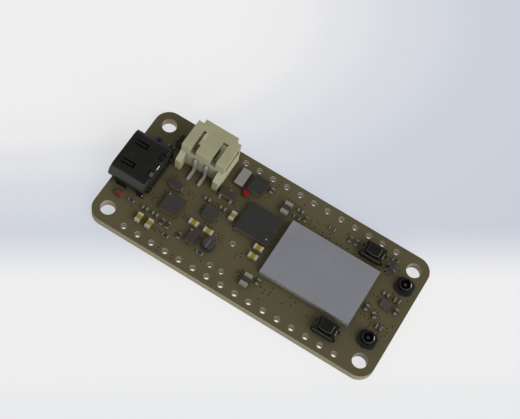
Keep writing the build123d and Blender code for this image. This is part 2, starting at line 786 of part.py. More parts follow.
def button(name, place):
    """Write one button's base, cover, plunger and dome."""
    with BuildPart() as base:
        with BuildSketch(button_plane(place, 0)):
            Rectangle(button_length, button_width)
        extrude(amount=button_base_height)
        with BuildSketch(button_plane(place, button_floor)):
            Rectangle(well_x, well_y)
        extrude(amount=button_base_height - button_floor, mode=Mode.SUBTRACT)
    keep(base, f"{name}_button_base")

    with BuildPart() as cover:
        with BuildSketch(button_plane(place, button_base_height - button_skirt)):
            Rectangle(cover_length, cover_width)
        extrude(amount=button_skirt + button_sheet)
        fillet(cover.edges().group_by(Axis.Z)[-1].filter_by(Axis.X), button_sheet)
        with BuildSketch(button_plane(place, button_base_height - button_skirt)):
            Rectangle(cover_length, button_width)
        extrude(amount=button_skirt, mode=Mode.SUBTRACT)
        with BuildSketch(button_plane(place, button_base_height - button_clip_drop)):
            Rectangle(cover_length, button_clip_width)
            Rectangle(button_length, button_clip_width, mode=Mode.SUBTRACT)
        extrude(amount=button_clip_drop)
        with BuildSketch(button_plane(place, button_base_height)):
            Rectangle(window_length_x, window_length_y)
        extrude(amount=button_sheet, mode=Mode.SUBTRACT)
    keep(cover, f"{name}_button_cover")

    with BuildPart() as plunger:
        with BuildSketch(button_plane(place, flange_top - plunger_flange_thickness)):
            with BuildLine():
                x, y = plunger_length / 2, plunger_width / 2
                ThreePointArc((-x, -y), (0, -y - plunger_bow), (x, -y))
                Line((x, -y), (x, y))
                ThreePointArc((x, y), (0, y + plunger_bow), (-x, y))
                Line((-x, y), (-x, -y))
            make_face()
        extrude(amount=plunger_top - flange_top + plunger_flange_thickness)
        chamfer(plunger.faces().sort_by(Axis.Z)[-1].edges(), plunger_edge)
        with BuildSketch(button_plane(place, flange_top - plunger_flange_thickness)):
            Rectangle(flange_x, flange_y)
        extrude(amount=plunger_flange_thickness)
        with BuildSketch(button_plane(place, dome_top)):
            RegularPolygon(plunger_nub / 2, dome_sides)
        extrude(amount=flange_top - plunger_flange_thickness - dome_top)
    keep(plunger, f"{name}_button_plunger")

    with BuildPart() as dome:
        with BuildSketch(button_plane(place, button_floor)):
            RegularPolygon(dome_diameter / 2, dome_sides)
        extrude(amount=dome_rise, taper=dome_slope)
        with BuildSketch(button_plane(place, button_floor)):
            RegularPolygon(dome_diameter / 2 - 2 * dome_sheet, dome_sides)
        extrude(amount=dome_rise - dome_sheet, taper=dome_slope, mode=Mode.SUBTRACT)
    keep(dome, f"{name}_button_dome")


for name, place in button_places.items():
    button(name, place)

with BuildPart() as button_terminal:
    with BuildSketch(Plane.XZ):
        with BuildLine():
            Polyline((0, 0), (button_terminal_reach, 0), (button_terminal_reach, button_terminal_sheet),
                     (button_terminal_sheet, button_terminal_sheet),
                     (button_terminal_sheet, button_terminal_height), (0, button_terminal_height),
                     close=True)
        make_face()
    extrude(amount=button_terminal_width / 2, both=True)

with BuildPart() as button_terminals:
    for place in button_places.values():
        for turn in (0, 180):
            for offset in (-button_terminal_spacing / 2, button_terminal_spacing / 2):
                with Locations(seat(*place, turn) * Location((button_length / 2, offset, 0))):
                    add(button_terminal.part)
keep(button_terminals, "button_terminals")


# Antenna sockets: a round shell and a centre pin on a chamfered base
def antenna_socket(name, place):
    """Write one socket's base, shell and pin."""
    outer = socket_ring / 2
    inner = outer - socket_wall
    foot_y = socket_width / 2 + socket_foot_reach
    with BuildPart() as shell:
        with BuildSketch(Plane(origin=seat(*place, lift=socket_base_height).position, x_dir=(1, 0, 0),
                               z_dir=(0, -1, 0))):
            with BuildLine():
                Polyline((inner, 0), (outer, 0), (outer, socket_ring_height - socket_edge),
                         (outer - socket_edge, socket_ring_height), (inner, socket_ring_height),
                         close=True)
            make_face()
        revolve(axis=Axis(seat(*place).position, (0, 0, 1)))
        with Locations(seat(*place)):
            with Locations((0, inner, 0)):
                Box(socket_foot_width, socket_wall, socket_base_height,
                    align=(Align.CENTER, Align.MIN, Align.MIN))
                Box(socket_foot_width, foot_y - inner, socket_foot_sheet,
                    align=(Align.CENTER, Align.MIN, Align.MIN))
    keep(shell, f"{name}_antenna_socket_shell")
    with BuildPart() as pin:
        with Locations(seat(*place)):
            Cylinder(socket_pin / 2, socket_base_height + socket_pin_height,
                     align=(Align.CENTER, Align.CENTER, Align.MIN))
        with Locations(seat(*place)):
            Box(socket_foot_width, foot_y, socket_foot_sheet, align=(Align.CENTER, Align.MAX, Align.MIN))
    keep(pin, f"{name}_antenna_socket_pin")
    with BuildPart() as base:
        with BuildSketch(Plane(origin=seat(*place).position)):
            outline = Rectangle(socket_length, socket_width)
            chamfer(outline.vertices(), socket_corner)
        extrude(amount=socket_base_height)
        add(shell.part, mode=Mode.SUBTRACT)
        add(pin.part, mode=Mode.SUBTRACT)
    keep(base, f"{name}_antenna_socket_base")


for name, place in socket_places.items():
    antenna_socket(name, place)
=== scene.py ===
"""Dresses the wireless development board: finishes, fine trim, studio and camera.

Metres, in the part's own frame: the origin is the centre of the four mounting holes on the board's underside,
+X runs from the data port to the antenna sockets, +Y towards the battery connector's edge and +Z up. Named
lengths are in millimetres where their comment says nothing else, and colours are in display values.
"""

from math import cos, pi, radians, sin

import bpy
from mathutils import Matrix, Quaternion, Vector


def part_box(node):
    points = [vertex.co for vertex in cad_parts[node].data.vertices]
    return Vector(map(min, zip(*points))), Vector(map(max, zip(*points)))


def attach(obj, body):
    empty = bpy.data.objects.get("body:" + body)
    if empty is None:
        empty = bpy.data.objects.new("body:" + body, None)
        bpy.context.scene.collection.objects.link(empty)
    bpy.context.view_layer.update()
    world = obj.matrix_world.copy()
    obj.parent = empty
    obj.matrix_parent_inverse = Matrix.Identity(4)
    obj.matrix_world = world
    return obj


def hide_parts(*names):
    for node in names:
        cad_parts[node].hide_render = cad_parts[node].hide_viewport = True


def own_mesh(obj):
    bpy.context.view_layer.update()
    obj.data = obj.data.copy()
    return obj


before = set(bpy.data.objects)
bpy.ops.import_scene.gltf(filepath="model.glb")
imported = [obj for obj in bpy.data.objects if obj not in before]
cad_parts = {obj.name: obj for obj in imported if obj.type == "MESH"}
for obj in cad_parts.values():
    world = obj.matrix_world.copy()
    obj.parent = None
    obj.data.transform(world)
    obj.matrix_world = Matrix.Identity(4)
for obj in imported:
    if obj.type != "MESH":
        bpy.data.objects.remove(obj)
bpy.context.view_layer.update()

MM = 0.001
BODY = "board"

# The board's upper face and its corner beside the data port, which the places below are measured from
board_low, board_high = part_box("circuit_board")
TOP = board_high.z
CORNER_X = board_low.x
CORNER_Y = board_low.y

# Camera: its place and the point on the board's upper face that it looks at, in millimetres, then its roll in
# degrees, its lens and sensor, and the metres that it sees between
CAMERA_PLACE = (24.63, -83.78, 187.55)
CAMERA_AIM = (-2.86, 4.29, 1.6)
CAMERA_ROLL = 15.22
CAMERA_LENS = 90.64
CAMERA_SENSOR = 36.0
CAMERA_NEAREST = 0.01
CAMERA_FARTHEST = 20.0

# Light: the world's strength, then the broad light's strength, spread in degrees and direction
WORLD_STRENGTH = 0.55
LIGHT_STRENGTH = 4.2
LIGHT_SPREAD = 70
LIGHT_FROM = (0.88, -0.33, 0.337)

# Small through-holes in the copper pattern, drilled between the components: their diameter and places
VIA_DRILL = 0.24
VIAS = [
    (5.45, 4.8), (7.1, 8.6), (6.9, 8.0), (7.45, 7.9), (7.85, 8.3), (7.5, 7.5), (8.3, 10.05), (11.15, 11.0),
    (12.1, 10.5), (11.6, 12.1), (12.2, 12.1), (11.6, 11.7), (11.9, 11.5), (12.7, 12.0), (12.7, 11.4),
    (8.5, 13.4), (8.0, 13.0), (8.4, 13.05), (10.4, 3.4), (10.7, 3.8), (10.8, 3.3), (11.3, 3.7),
    (12.75, 1.85), (12.8, 1.25), (12.8, 0.65), (15.3, 1.3), (15.35, 0.7), (13.65, 4.9), (13.65, 4.4),
    (15.3, 4.0), (16.05, 4.2), (19.45, 3.0), (13.1, 8.3), (13.2, 7.7), (14.7, 11.2), (14.7, 10.6),
    (15.8, 12.7), (15.8, 12.2), (16.3, 12.7), (16.3, 12.2), (17.95, 10.05), (16.5, 8.8), (17.2, 8.7),
    (17.8, 8.7), (19.3, 8.5), (19.9, 8.5), (20.4, 8.3), (19.6, 8.0), (20.1, 8.0), (19.3, 7.6), (19.8, 7.6),
    (20.4, 7.6), (19.5, 7.2), (20.1, 7.2), (20.9, 10.2), (21.0, 10.8), (20.5, 10.8), (18.9, 13.9),
    (20.1, 16.3), (22.9, 21.8), (22.9, 21.2), (22.8, 20.6), (22.6, 18.4), (22.2, 17.9), (24.1, 7.6),
    (24.3, 7.0), (23.5, 7.0), (23.5, 6.4), (25.7, 5.2), (25.2, 4.9), (25.7, 4.65), (25.2, 4.5),
    (25.7, 4.1), (25.5, 19.8), (26.2, 19.8), (26.8, 19.75), (27.5, 19.75), (28.05, 20.55), (31.4, 19.0),
    (30.4, 18.6), (30.4, 17.95), (31.4, 17.95), (32.95, 17.95), (34.0, 18.25), (34.3, 17.65), (33.0, 17.4),
    (33.8, 17.35), (35.7, 17.4), (36.4, 17.55), (37.6, 17.7), (36.4, 20.0), (31.15, 5.3), (31.2, 4.5),
    (31.15, 4.0), (30.2, 4.4), (29.5, 4.4), (30.2, 3.8), (30.2, 2.55), (34.2, 5.4), (35.2, 5.2),
    (34.9, 4.4), (33.6, 3.9), (37.9, 4.15), (39.0, 17.5), (43.6, 17.4), (46.3, 19.0), (49.85, 15.2),
    (47.3, 15.0), (44.85, 13.2), (45.45, 13.2), (44.85, 11.55), (45.4, 11.4), (46.2, 11.1), (46.8, 10.9),
    (47.15, 10.5), (47.6, 10.1), (48.05, 11.6), (49.85, 10.15), (44.7, 9.25), (45.35, 9.3), (46.15, 9.15),
    (46.6, 8.8), (46.65, 8.25), (46.6, 7.8), (47.9, 9.5), (48.6, 9.55), (49.3, 9.4), (49.55, 8.75),
    (49.5, 8.1), (49.1, 7.75), (48.5, 7.7),
]

# Dots that mark the first pad of three chips: place, diameter, and the height of the face that each lies on
DOTS = [(26.15, 11.44, 0.3, 0.8), (9.5, 9.72, 0.26, 0.8), (15.59, 6.38, 0.26, 0.75)]

# Vias and dots alike: how far they stand off the face beneath, and the sides of each circle
SPOT_RISE = 0.012
SPOT_SIDES = 16

# Plated barrels that line the header holes and the test holes. The two rows' pitch, their inset from the long
# edges, the holes' diameter, the steps that each row fills and the first step's place. Then the test holes,
# and each barrel's sides, wall, seat in the laminate and lip over the board
HEADER_PITCH = 2.54
HEADER_INSET = 1.27
HEADER_HOLE = 1.05
NEAR_ROW = range(16)
FAR_ROW = range(4, 16)
NEAR_START = 6.35
TEST_HOLE = 0.95
TEST_HOLES = [(21.0, 3.2), (23.05, 3.2), (22.1, 8.25)]
BARREL_SIDES = 32
BARREL_LINING = 0.04
BARREL_SEAT = 0.01
BARREL_LIP = 0.004

# The buttons' snap domes: the height of their seats over the board, and the radius and height of each ring of
# the upper and lower skins
DOME_SEAT = 0.45
DOME_UPPER = [
    (0.92, 0.0), (0.87, 0.06), (0.79, 0.13), (0.7, 0.195), (0.6, 0.25), (0.5, 0.285), (0.42, 0.3),
]
DOME_LOWER = [
    (0.85, 0.0), (0.81, 0.045), (0.735, 0.1), (0.65, 0.155), (0.56, 0.2), (0.47, 0.228), (0.4, 0.24),
]
DOME_SIDES = 32

# Painted corner shade: how far away a neighbouring surface still darkens a finish, what is left there of its
# own colour, the shade colour that it turns to, the samples taken, and the openness at which the shade is
# full and gone
REACH = 1.6
CORNER_SHARE = 0.7
CORNER_SHADE_COLOUR = (14, 12, 8)
CORNER_SAMPLES = 8
CORNER_OPENNESS = (0.42, 0.9)

# Painted edge highlights: how closely a bevelled direction matches the face's own where there is none and
# where it is full
EDGE_HIGHLIGHT_MATCH = (1.0, 0.75)

# The part of a noise's range that counts, for mottled colours, tin crystals and roughness, and a band's waver
COLOUR_MIDDLE = (0.3, 0.7)
CRYSTAL_MIDDLE = (0.1, 0.7)
ROUGH_MIDDLE = (0.25, 0.75)
BAND_WAVER = 0.6

# How far a face's direction leans towards the board's Z axis where a wall ends and a flat begins
FLAT_LEAN = (0.4, 0.6)

# The board's middle, and half the length and width about it within which its walls are those of its holes
BOARD_MIDDLE = ((board_high.x - board_low.x) / 2 / MM, (board_high.y - board_low.y) / 2 / MM)
HOLE_REGION = (24.6, 10.7)

# The heights, from the board's upper face, between which painted shade darkens a mounting hole's wall towards
# its rim
HOLE_RIM = (-0.9, -0.1)

# The places below are in millimetres from the board's corner, and heights are over its upper face.
# Data port: the shoulder of its near side and the height of its middle, which bound its painted reflection,
# and two painted highlights with half their sizes: on its rear bend, given by Y and Z, and on one leg
PORT_SHOULDER = 7.75
PORT_CENTRE_HEIGHT = 1.68
PORT_BEND = (11.35, 3.17)
PORT_BEND_HALF = (0.4, 0.035)
PORT_LEG = (5.98, 6.96, 0.4)
PORT_LEG_HALF = (0.08, 0.05, 0.2)

# Antenna sockets, the far one first: their centres, the bore's radius, how far inside it the shell is painted
# black as shade, the rim's height, which bounds the painted light on the near rim, and the way its painted
# highlight faces
SOCKETS = [(48.26, 16.95), (47.57, 6.07)]
SOCKET_BORE = 0.84
SOCKET_LINING = 0.02
SOCKET_RIM = 1.1
SOCKET_GLEAM = (0.934, 0.358)

# Push buttons, the far one first: their centres, half the cover's length, how far inside its end the lip's
# middle lies, half the width of its end clips, and the heights of its fold and of the base's foot. These
# place the covers' painted highlights and the foot's brown band, which holds painted shadow
BUTTONS = [(41.43, 19.0), (41.4, 3.8)]
BUTTON_EDGE = 1.75
BUTTON_LIP = 0.06
BUTTON_CLIP = 0.5
BUTTON_FOLD = 1.15
BUTTON_FOOT = 0.3

# Battery connector: the middle of its back wall, the depth that counts as the wall's face, how far from the
# middle its inside ends and its outer side begins, how far in front of the wall the inside and the pins' ends
# with painted shade begin, its roof, and the top face of one thin ledge, with half its size. These place
# painted light on the inside, the outer sides, the back wall and the ledge's top
BATTERY = (11.22, 16.0)
BATTERY_FACE = 0.03
BATTERY_INSIDE = 2.5
BATTERY_SIDE = 3.0
BATTERY_FRONT = 1.12
PIN_SHADE = 0.6
BATTERY_ROOF = 4.73
LEDGE = (9.67, 19.2)
LEDGE_HALF = (0.19, 0.6)

# Lamps: the blue one, how far the painted reflection of its colour reaches, the round one, and the rings that
# the painted light on its lens fades between
LINK_LAMP = (2.63, 17.05)
LINK_LAMP_REACH = 2.0
USER_LAMP = (19.2, 16.7)
USER_LAMP_RINGS = (0.2, 0.5, 0.62)

# Inductor: the middle of the painted highlight along a groove across its top, with half the highlight's size
INDUCTOR_LINE = (19.01, 5.7)
INDUCTOR_LINE_HALF = (0.08, 0.78)

# Transistor leads with painted light: the bright ones, how far they reach from these places, and the X that
# pale ones lie beyond
BRIGHT_LEADS = [(17.05, 15.75), (16.1, 13.95), (18.0, 13.95)]
BRIGHT_LEAD_REACH = 0.5
PALE_LEADS = 40.0

# Resistor films coloured olive: the middle X and the least Y of the area that they lie in, and half its
# length
OLIVE_FILM = (35.0, 17.5)
OLIVE_FILM_HALF = 6.0

# Floor: half its side and how far below the board it lies, in metres, and the share of its own brightness in
# what the camera sees
FLOOR_HALF = 4.0
FLOOR_DROP = 0.00002
FLOOR_GLOW = 0.82

# Where a place on the floor lies in the picture: the pixels for each millimetre of X and of Y, and the pixel
# of the origin. Then the pixels over which its tint fades rightward and downward, and the picture's height
PICTURE_RIGHT = (5.319, 3.235, 258.6)
PICTURE_DOWN = (3.172, -4.692, 248.3)
FADE_RIGHT = 360
FADE_DOWN = 172
PICTURE_HEIGHT = 419

# The floor's tints: with half the distance from the picture's upper left corner, with the way down the
# picture, and the turn from the first to the second. Then the painted light beneath the board, where its
# shadow falls, and its margin from the board's edges
FLOOR_FAR = [
    (0.3, (238, 238, 238)), (0.41, (235, 235, 236)), (0.49, (225, 226, 230)),
    (0.585, (215, 218, 225)), (0.72, (205, 209, 219)), (1.0, (202, 206, 217)),
]
FLOOR_FRONT = [(0.6, (238, 238, 238)), (0.86, (238, 238, 238)), (0.96, (233, 234, 236))]
FLOOR_TURN = [(0.54, (0, 0, 0)), (0.69, (255, 255, 255))]
FLOOR_BENEATH = (250, 245, 233)
FLOOR_MARGIN = (5.4, 0.63)


def linear(red, green, blue):
    """A colour in display values, each from 0 to 255, as the linear colour that a shader takes."""
    channels = []
    for value in (red, green, blue):
        share = value / 255
        channels.append(share / 12.92 if share <= 0.04045 else ((share + 0.055) / 1.055) ** 2.4)
    return (*channels, 1.0)


def at(x, y, lift=0.0):
    """A place in metres, from millimetres along X and Y from the board's corner and over its upper face."""
    return (CORNER_X + x * MM, CORNER_Y + y * MM, TOP + lift * MM)


class Material:
    """One material, with short ways to join its nodes."""

    def __init__(self, name, rough, level):
        self.material = bpy.data.materials.new(name)
        self.material.use_nodes = True
        self.tree = self.material.node_tree
        self.shader = self.tree.nodes["Principled BSDF"]
        self.shader.inputs["Roughness"].default_value = rough
        self.shader.inputs["Specular IOR Level"].default_value = level
        self.place = self.tree.nodes.new("ShaderNodeTexCoord").outputs["Object"]

    def link(self, source, target):
        self.tree.links.new(source, target)

    def feed(self, value, target):
        """Set an input to a constant, or link an output to it."""
        if isinstance(value, (int, float, tuple)):
            target.default_value = value
        else:
            self.link(value, target)

    def maths(self, kind, *values):
        """Values and numbers joined by one operation."""
        node = self.tree.nodes.new("ShaderNodeMath")
        node.operation = kind
        for target, value in zip(node.inputs, values):
            self.feed(value, target)
        return node.outputs["Value"]

    def vector(self, kind, *values):
        """A node that joins vectors by one operation."""
        node = self.tree.nodes.new("ShaderNodeVectorMath")
        node.operation = kind
        for target, value in zip(node.inputs, values):
            self.feed(value, target)
        return node

    def mix(self, share, first, second):
        """A colour between two, each a colour in display values or an output."""
        node = self.tree.nodes.new("ShaderNodeMix")
        node.data_type = "RGBA"
        self.feed(share, node.inputs[0])
        for place, value in ((6, first), (7, second)):
            self.feed(linear(*value) if isinstance(value, tuple) else value, node.inputs[place])
        return node.outputs[2]

    def ramp(self, value, stops):
        """A colour that eases from stop to stop, each a value and a colour in display values."""
        node = self.tree.nodes.new("ShaderNodeValToRGB")
        node.color_ramp.interpolation = "EASE"
        while len(node.color_ramp.elements) < len(stops):
            node.color_ramp.elements.new(0.5)
        for element, (place, colour) in zip(node.color_ramp.elements, stops):
            element.position = place
            element.color = linear(*colour)
        self.link(value, node.inputs["Fac"])
        return node.outputs["Color"]

    def split(self, vector):
        """The X, Y and Z parts of a vector."""
        parts = self.tree.nodes.new("ShaderNodeSeparateXYZ")
        self.link(vector, parts.inputs["Vector"])
        return parts.outputs


class Look(Material):
    """One procedural material, built up from noise in the part's own frame."""

    def __init__(self, name, rough, metallic=0.0, level=0.5):
        super().__init__(name, rough, level)
        self.shader.inputs["Metallic"].default_value = metallic

    def stretch(self, along):
        """The place, scaled along each axis, so that a noise read from it runs in streaks."""
        mapping = self.tree.nodes.new("ShaderNodeMapping")
        mapping.inputs["Scale"].default_value = along
        self.link(self.place, mapping.inputs["Vector"])
        return mapping.outputs["Vector"]

    def noise(self, size_mm, detail=3.0, warp=0.0, along=None):
        """Noise from 0 to 1 with features of about that size."""
        node = self.tree.nodes.new("ShaderNodeTexNoise")
        node.inputs["Scale"].default_value = 1 / (size_mm * MM)
        node.inputs["Detail"].default_value = detail
        node.inputs["Distortion"].default_value = warp
        self.link(self.stretch(along) if along else self.place, node.inputs["Vector"])
        return node.outputs["Fac"]

    def cells(self, size_mm):
        """Distance to the nearest of scattered points, for grains and pits of about that size."""
        node = self.tree.nodes.new("ShaderNodeTexVoronoi")
        node.inputs["Scale"].default_value = 1 / (size_mm * MM)
        self.link(self.place, node.inputs["Vector"])
        return node.outputs["Distance"]

    def waves(self, size_mm, axis):
        """Straight bands across one axis, each of about that width."""
        node = self.tree.nodes.new("ShaderNodeTexWave")
        node.wave_type = "BANDS"
        node.bands_direction = axis
        node.inputs["Scale"].default_value = 0.5 / (size_mm * MM)
        node.inputs["Distortion"].default_value = BAND_WAVER
        self.link(self.place, node.inputs["Vector"])
        return node.outputs["Fac"]

    def span(self, value, low, high, to_low=0.0, to_high=1.0):
        """A value mapped from one range to another, clamped."""
        node = self.tree.nodes.new("ShaderNodeMapRange")
        for label, amount in (("From Min", low), ("From Max", high), ("To Min", to_low), ("To Max", to_high)):
            node.inputs[label].default_value = amount
        self.link(value, node.inputs["Value"])
        return node.outputs["Result"]

    def mottled(self, noise, dark, light, middle=COLOUR_MIDDLE):
        """A colour that wanders between two with a noise."""
        return self.mix(self.span(noise, *middle), dark, light)

    def plain(self, source):
        """The finished colour, as it is given."""
        self.link(source, self.shader.inputs["Base Color"])

    def colour(self, source, reach_mm=REACH, share=CORNER_SHARE):
        """The finished colour, with painted shade that deepens it wherever another surface stands close."""
        self.plain(self.paint_corner_shade(source, reach_mm, share))

    def paint_corner_shade(self, source, reach_mm, share):
        """A colour that painted shade darkens into corners, down to a share of itself."""
        node = self.tree.nodes.new("ShaderNodeAmbientOcclusion")
        node.samples = CORNER_SAMPLES
        node.inputs["Distance"].default_value = reach_mm * MM
        return self.mix(self.span(node.outputs["AO"], *CORNER_OPENNESS, share, 1.0), CORNER_SHADE_COLOUR, source)

    def rough(self, source, low, high):
        """Roughness that follows a noise, between two values."""
        self.link(self.span(source, *ROUGH_MIDDLE, low, high), self.shader.inputs["Roughness"])

    def bump(self, height, depth_mm, strength):
        """Relief of a depth in millimetres, laid over any relief already there."""
        node = self.tree.nodes.new("ShaderNodeBump")
        node.inputs["Strength"].default_value = strength
        node.inputs["Distance"].default_value = depth_mm * MM
        self.link(height, node.inputs["Height"])
        normal = self.shader.inputs["Normal"]
        if normal.is_linked:
            self.link(normal.links[0].from_socket, node.inputs["Normal"])
        self.link(node.outputs["Normal"], normal)

    def direction(self):
        """The X, Y and Z parts of the surface's own direction."""
        return self.split(self.tree.nodes.new("ShaderNodeNewGeometry").outputs["True Normal"])

    def facing(self):
        """How far the surface faces along the board's Z axis, from 0 on a wall to 1 on a flat."""
        return self.maths("ABSOLUTE", self.direction()["Z"])

    def flat(self):
        """1 on a flat and 0 on a wall."""
        return self.span(self.facing(), *FLAT_LEAN)

    def step(self, value, limit, soft):
        """0 below a limit and 1 above it."""
        return self.span(value, limit - soft / 2, limit + soft / 2)

    def below(self, value, limit, soft):
        """1 below a limit and 0 above it."""
        return self.span(value, limit - soft / 2, limit + soft / 2, 1.0, 0.0)

    def strip(self, value, middle, half, soft):
        """1 within a distance of a middle value and 0 outside it."""
        return self.below(self.maths("ABSOLUTE", self.maths("SUBTRACT", value, middle)), half, soft)

    def overlap(self, *masks):
        """1 where every mask is 1."""
        whole = masks[0]
        for mask in masks[1:]:
            whole = self.maths("MULTIPLY", whole, mask)
        return whole

    def block(self, values, middles, halves, softs):
        """1 where each value lies within its own distance of its own middle."""
        return self.overlap(*(self.strip(*parts) for parts in zip(values, middles, halves, softs)))

    def offset(self, x, y, up):
        """Millimetres from a place on the board's upper face, with the height kept by 1 and dropped by 0."""
        away = self.vector("SUBTRACT", self.place, at(x, y)).outputs["Vector"]
        return self.vector("MULTIPLY", away, (1 / MM, 1 / MM, up / MM)).outputs["Vector"]

    def measure(self):
        """Millimetres along X and Y from the board's corner, and along Z from its upper face."""
        return self.split(self.offset(0, 0, 1))

    def across(self, x, y):
        """Millimetres from an upright line through a place on the board."""
        return self.vector("LENGTH", self.offset(x, y, 0)).outputs["Value"]

    def nearest(self, places):
        """Millimetres from the nearest of some upright lines."""
        away = self.across(*places[0])
        for place in places[1:]:
            away = self.maths("MINIMUM", away, self.across(*place))
        return away

    def beside(self, far_place, near_place):
        """Millimetres along X and Y from the one of two places on the same side of the board's middle."""
        x, y, _ = self.measure()
        far = self.step(y, BOARD_MIDDLE[1], 0.01)
        return [self.maths("SUBTRACT", value, self.span(far, 0.0, 1.0, near, beyond))
                for value, near, beyond in zip((x, y), near_place, far_place)]

    def painted_edge_highlight(self, share, radius_mm):
        """A mask of the outward edges, from a bevelled normal, for painted highlights along them."""
        bevel = self.tree.nodes.new("ShaderNodeBevel")
        bevel.inputs["Radius"].default_value = radius_mm * MM
        flat = self.tree.nodes.new("ShaderNodeNewGeometry").outputs["True Normal"]
        match = self.vector("DOT_PRODUCT", bevel.outputs["Normal"], flat).outputs["Value"]
        return self.span(match, *EDGE_HIGHLIGHT_MATCH, 0.0, share)


def laminate_board():
    """Olive solder mask over glass laminate, with the bare laminate showing on its edges and in its holes."""
    look = Look("olive_solder_mask", rough=0.55, level=0.15)
    broad = look.noise(11.0, detail=1.5)
    hue = look.noise(5.0, detail=2.0)
    fine = look.noise(0.25, detail=4.0)
    weave = look.overlap(look.waves(0.36, "X"), look.waves(0.36, "Y"))
    mask = look.mix(look.span(broad, 0.35, 0.65), (77, 71, 49), (83, 77, 54))
    mask = look.mix(look.span(hue, 0.4, 0.65, 0.0, 0.3), mask, (75, 72, 48))
    mask = look.mix(look.span(fine, 0.35, 0.8, 0.0, 0.2), mask, (66, 60, 42))
    mask = look.mix(look.span(weave, 0.0, 1.0, 0.0, 0.06), mask, (96, 91, 68))
    plies = look.noise(0.5, along=(1.0, 1.0, 9.0))
    edge = look.mottled(plies, (121, 114, 92), (134, 127, 103))
    # Painted shade on the laminate's edges that face +X
    toward = look.direction()["X"]
    edge = look.mix(look.span(toward, 0.4, 0.9), edge, (114, 109, 88))
    x, y, z = look.measure()
    hole = look.block((x, y), BOARD_MIDDLE, HOLE_REGION, (0.1, 0.1))
    # Painted light and shade on the mounting holes' walls: walls that face away from the light take the
    # lighter colour, set by the side of the board and lighter still in the far left corner, then painted
    # shade towards the rim
    right = look.step(x, BOARD_MIDDLE[0], 0.1)
    shaded = look.mix(right, (212, 196, 176), (180, 175, 151))
    lit = look.mix(right, (162, 150, 135), (138, 134, 116))
    corner = look.overlap(look.below(x, BOARD_MIDDLE[0], 0.1), look.step(y, BOARD_MIDDLE[1], 0.1))
    shaded = look.mix(corner, shaded, (248, 230, 206))
    lit = look.mix(corner, lit, (192, 178, 160))
    wall = look.mix(look.span(toward, -0.7, 0.4), shaded, lit)
    wall = look.mix(look.span(z, *HOLE_RIM, 0.0, 0.55), wall, (108, 102, 90))
    edge = look.mix(hole, look.paint_corner_shade(edge, 0.35, CORNER_SHARE), wall)
    mask = look.paint_corner_shade(mask, REACH, CORNER_SHARE)
    look.plain(look.mix(look.flat(), edge, mask))
    look.rough(fine, 0.5, 0.62)
    look.bump(weave, 0.004, 0.4)
    look.bump(fine, 0.003, 0.4)
    return look.material


def barrel_plating():
    """Pinkish-grey plating inside a drilled hole, painted light deep down and painted shade beside its upper
    rim.
    """
    look = Look("barrel_plating", rough=0.5, level=0.3)
    mottle = look.noise(0.3)
    depth = look.maths("SUBTRACT", 0.0, look.measure()["Z"])
    # Painted light and shade: pale deep down, where shadow falls, and darker towards the rim, reaching deeper
    # on walls that face +X, where the light falls
    lit = look.maths("MULTIPLY", look.maths("MAXIMUM", look.direction()["X"], 0.0), 0.5)
    wall = look.mottled(mottle, (222, 215, 202), (230, 223, 211))
    wall = look.mix(look.span(look.maths("SUBTRACT", depth, lit), 0.15, 0.6), (108, 103, 90), wall)
    look.plain(look.mix(look.flat(), wall, (118, 112, 96)))
    look.rough(mottle, 0.42, 0.6)
    look.bump(mottle, 0.004, 0.4)
    return look.material


def black_sheet(name):
    """Black coating on thin sheet. It is returned open, so that its colour can be built further."""
    look = Look(name, rough=0.4, level=0.15)
    fine = look.noise(0.06)
    broad = look.noise(1.4, detail=2.0)
    base = look.mottled(broad, (18, 18, 16), (23, 23, 21))
    look.rough(broad, 0.34, 0.46)
    look.bump(fine, 0.0015, 0.5)
    return look, base


def port_sheet():
    """The port's coated shell: darker on top, with a painted reflection along its rounded near side."""
    look, base = black_sheet("port_coated_sheet")
    x, y, z = look.measure()
    toward = look.direction()
    # Painted reflection along the near side, painted light on the rear faces, and painted highlights on the
    # rear bend and one leg
    near = look.overlap(look.step(z, PORT_CENTRE_HEIGHT, 0.04), look.below(y, PORT_SHOULDER, 0.05))
    base = look.mix(near, base, (55, 55, 51))
    rear = look.overlap(look.step(toward["X"], 0.3, 0.2), look.step(toward["Z"], -0.1, 0.1))
    base = look.mix(rear, base, (34, 35, 32))
    bend = look.overlap(look.block((y, z), PORT_BEND, PORT_BEND_HALF, (0.06, 0.02)),
                        look.step(toward["X"], 0.25, 0.1))
    leg = look.block((x, y, z), PORT_LEG, PORT_LEG_HALF, (0.04, 0.04, 0.05))
    base = look.mix(look.maths("MAXIMUM", bend, leg), base, (225, 225, 222))
    look.colour(base, 0.6, 0.3)
    return look.material


def port_insulator():
    """The port's black moulding, with painted light on the ramp that faces the board's near edge."""
    look = Look("port_moulded_plastic", rough=0.55, level=0.15)
    grain = look.cells(0.05)
    broad = look.noise(0.8, detail=2.0)
    base = look.mottled(broad, (20, 20, 19), (26, 26, 24))
    toward = look.direction()
    ramp = look.overlap(look.below(toward["Y"], -0.2, 0.1), look.step(toward["Z"], 0.2, 0.1))
    look.colour(look.mix(ramp, base, (72, 71, 70)), 0.5, 0.4)
    look.bump(grain, 0.003, 0.5)
    return look.material


def contact_metal():
    """The port's contacts, coloured dark as painted shade inside the shell."""
    look = Look("port_contact_metal", rough=0.45, metallic=0.3, level=0.3)
    fine = look.noise(0.05)
    look.colour(look.mottled(fine, (26, 25, 21), (34, 32, 27)), 0.6, 0.5)
    look.bump(fine, 0.002, 0.5)
    return look.material


